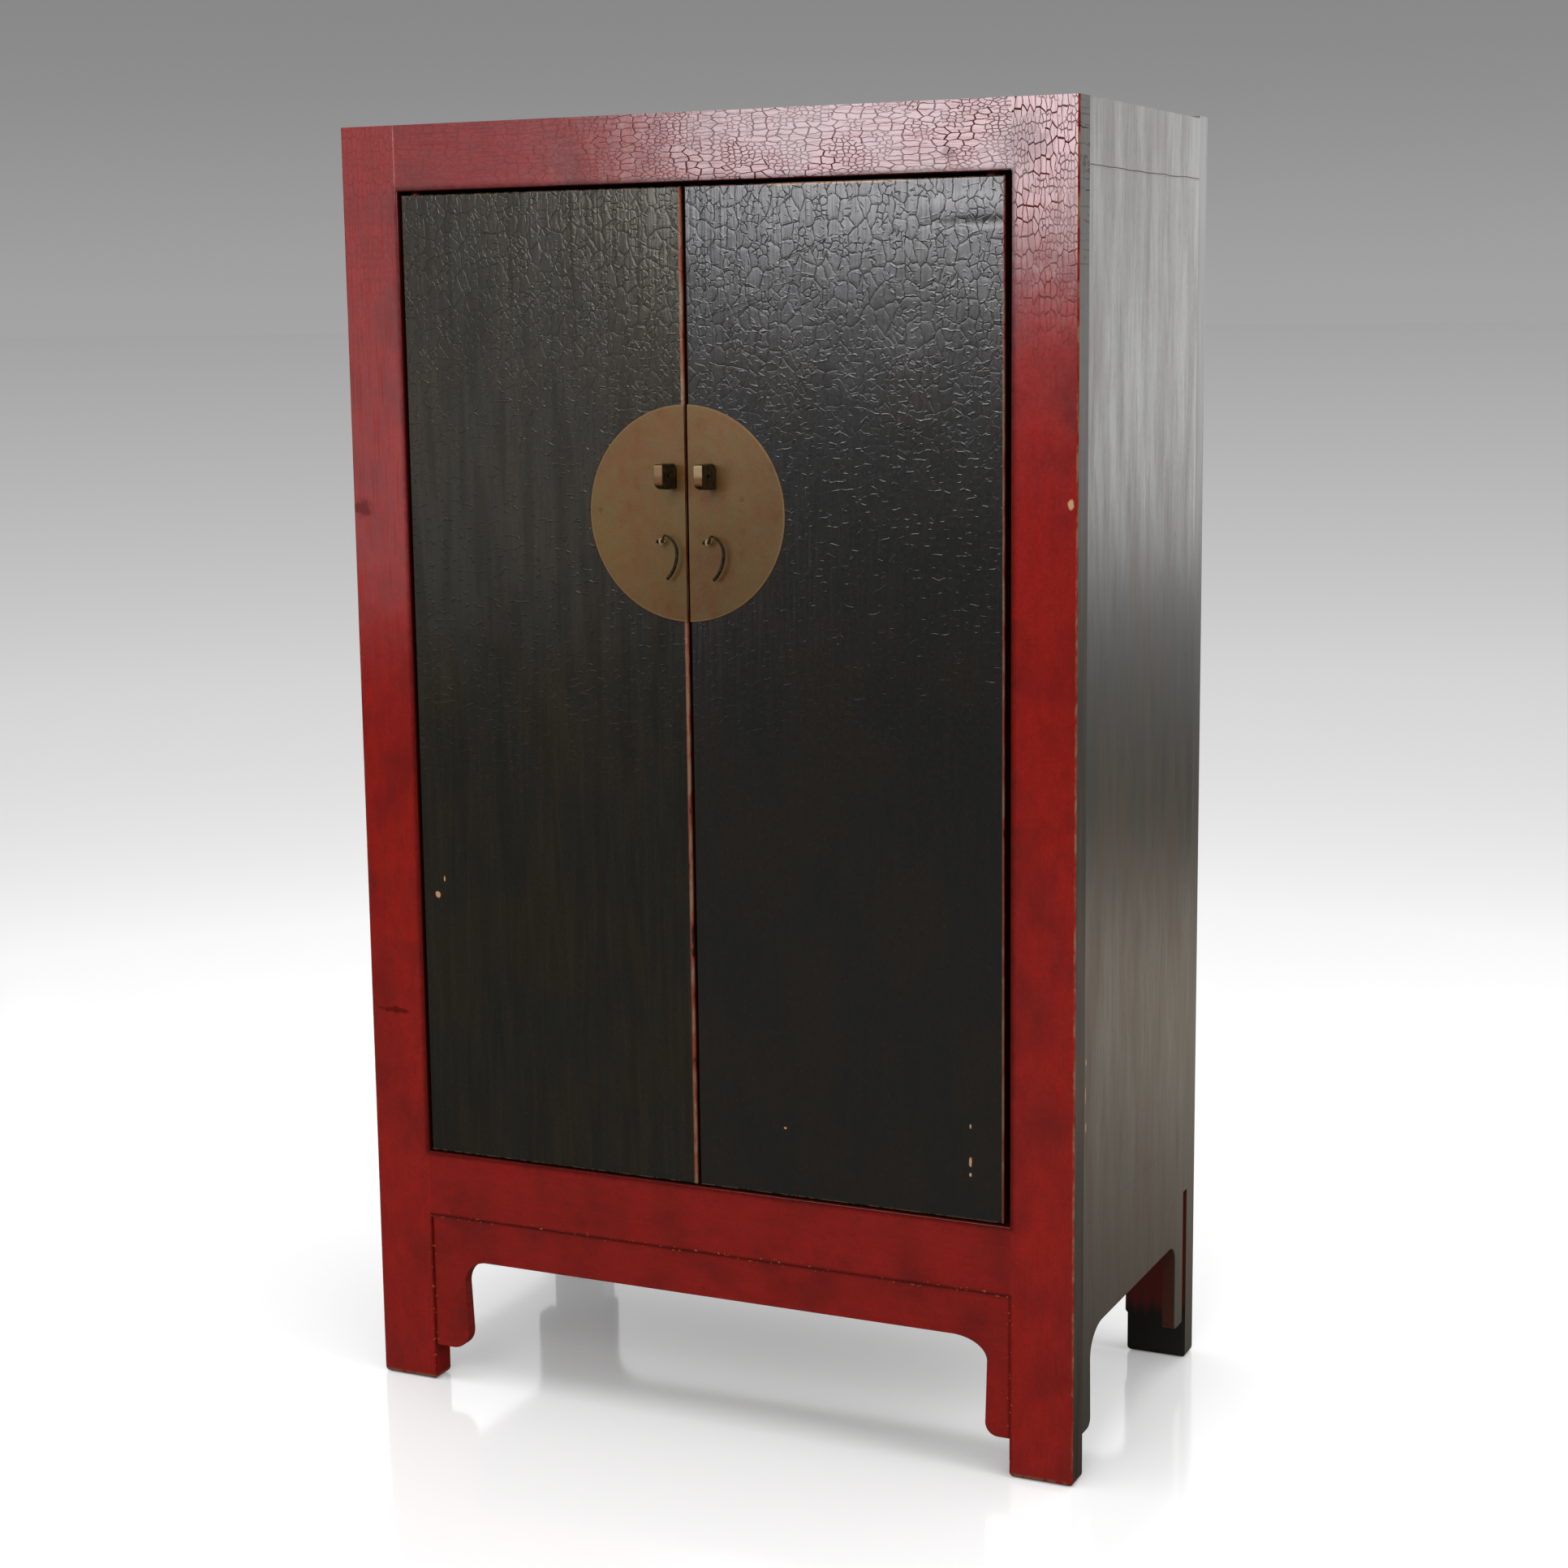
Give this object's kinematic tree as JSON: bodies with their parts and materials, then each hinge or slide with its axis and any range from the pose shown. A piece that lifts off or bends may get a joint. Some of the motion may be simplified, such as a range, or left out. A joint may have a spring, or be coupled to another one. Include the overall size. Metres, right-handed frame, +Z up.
{
  "type": "chinese wedding cabinet",
  "caption": "Tall square-corner lacquered cabinet on straight feet with shaped aprons, pivot-hung flush doors, a split round brass plate, lock lugs and crescent pulls over shelves.",
  "frame": {"origin": "centre of the bounding box in plan, on the floor under the feet", "axes": "+Z up; the doors face -Y; +X is the right-hand side seen from the front; the case is symmetric about X=0 apart from its doors and front spandrels"},
  "size_m": [1.06, 0.5842, 1.783],
  "materials": {
    "red_lacquer": "aged crackled lacquer, satin",
    "black_lacquer_door": "aged crackled lacquer, satin",
    "black_lacquer_case": "thin rubbed lacquer, satin",
    "bare_wood": "unfinished old wood, matt",
    "brass_plate": "dull aged brass",
    "brass_fittings": "dark worn brass",
    "dark_iron": "blackened brass, satin"
  },
  "bodies": {
    "case": {"back_muntin": "bare_wood", "floor_board": "bare_wood", "front_apron": "red_lacquer", "front_bottom_rail": "red_lacquer", "front_left_post": "red_lacquer", "front_right_post": "red_lacquer", "front_top_rail": "red_lacquer", "left_apron": "black_lacquer_case", "left_back_panel": "bare_wood", "left_bottom_rail": "black_lacquer_case", "left_floor_batten": "bare_wood", "left_side_panel": "black_lacquer_case", "left_top_rail": "black_lacquer_case", "lower_left_bearer": "bare_wood", "lower_right_bearer": "bare_wood", "lower_shelf": "bare_wood", "rear_apron": "black_lacquer_case", "rear_bottom_rail": "black_lacquer_case", "rear_left_post": "black_lacquer_case", "rear_right_post": "black_lacquer_case", "rear_top_rail": "black_lacquer_case", "right_apron": "black_lacquer_case", "right_back_panel": "bare_wood", "right_bottom_rail": "black_lacquer_case", "right_floor_batten": "bare_wood", "right_side_panel": "black_lacquer_case", "right_top_rail": "black_lacquer_case", "top_batten": "bare_wood", "top_panel": "black_lacquer_case", "upper_left_bearer": "bare_wood", "upper_right_bearer": "bare_wood", "upper_shelf": "bare_wood"},
    "left_door": {"left_door_board": "black_lacquer_door", "left_door_lower_batten": "bare_wood", "left_door_pivot_stile": "black_lacquer_door", "left_door_upper_batten": "bare_wood", "left_lock_lug": "brass_fittings", "left_plate": "brass_plate", "left_pull_eye": "brass_fittings"},
    "left_pull": {"left_pull": "dark_iron"},
    "right_door": {"right_door_board": "black_lacquer_door", "right_door_lower_batten": "bare_wood", "right_door_pivot_stile": "black_lacquer_door", "right_door_upper_batten": "bare_wood", "right_lock_lug": "brass_fittings", "right_plate": "brass_plate", "right_pull_eye": "brass_fittings"},
    "right_pull": {"right_pull": "dark_iron"}
  },
  "joints": [
    {"name": "left_door_hinge", "type": "hinge", "parent": "case", "child": "left_door", "pos_m": [-0.4195, -0.23545, 1.01675], "axis": [0, 0, -1], "range_deg": [0, 115]},
    {"name": "left_pull_swing", "type": "hinge", "parent": "left_door", "child": "left_pull", "pos_m": [-0.0462, -0.25855, 1.2275], "axis": [-1, 0, 0], "range_deg": [-7, 165]},
    {"name": "right_door_hinge", "type": "hinge", "parent": "case", "child": "right_door", "pos_m": [0.412, -0.23545, 1.01675], "axis": [0, 0, 1], "range_deg": [0, 115]},
    {"name": "right_pull_swing", "type": "hinge", "parent": "right_door", "child": "right_pull", "pos_m": [0.0222, -0.25855, 1.2275], "axis": [-1, 0, 0], "range_deg": [-7, 165]}
  ]
}
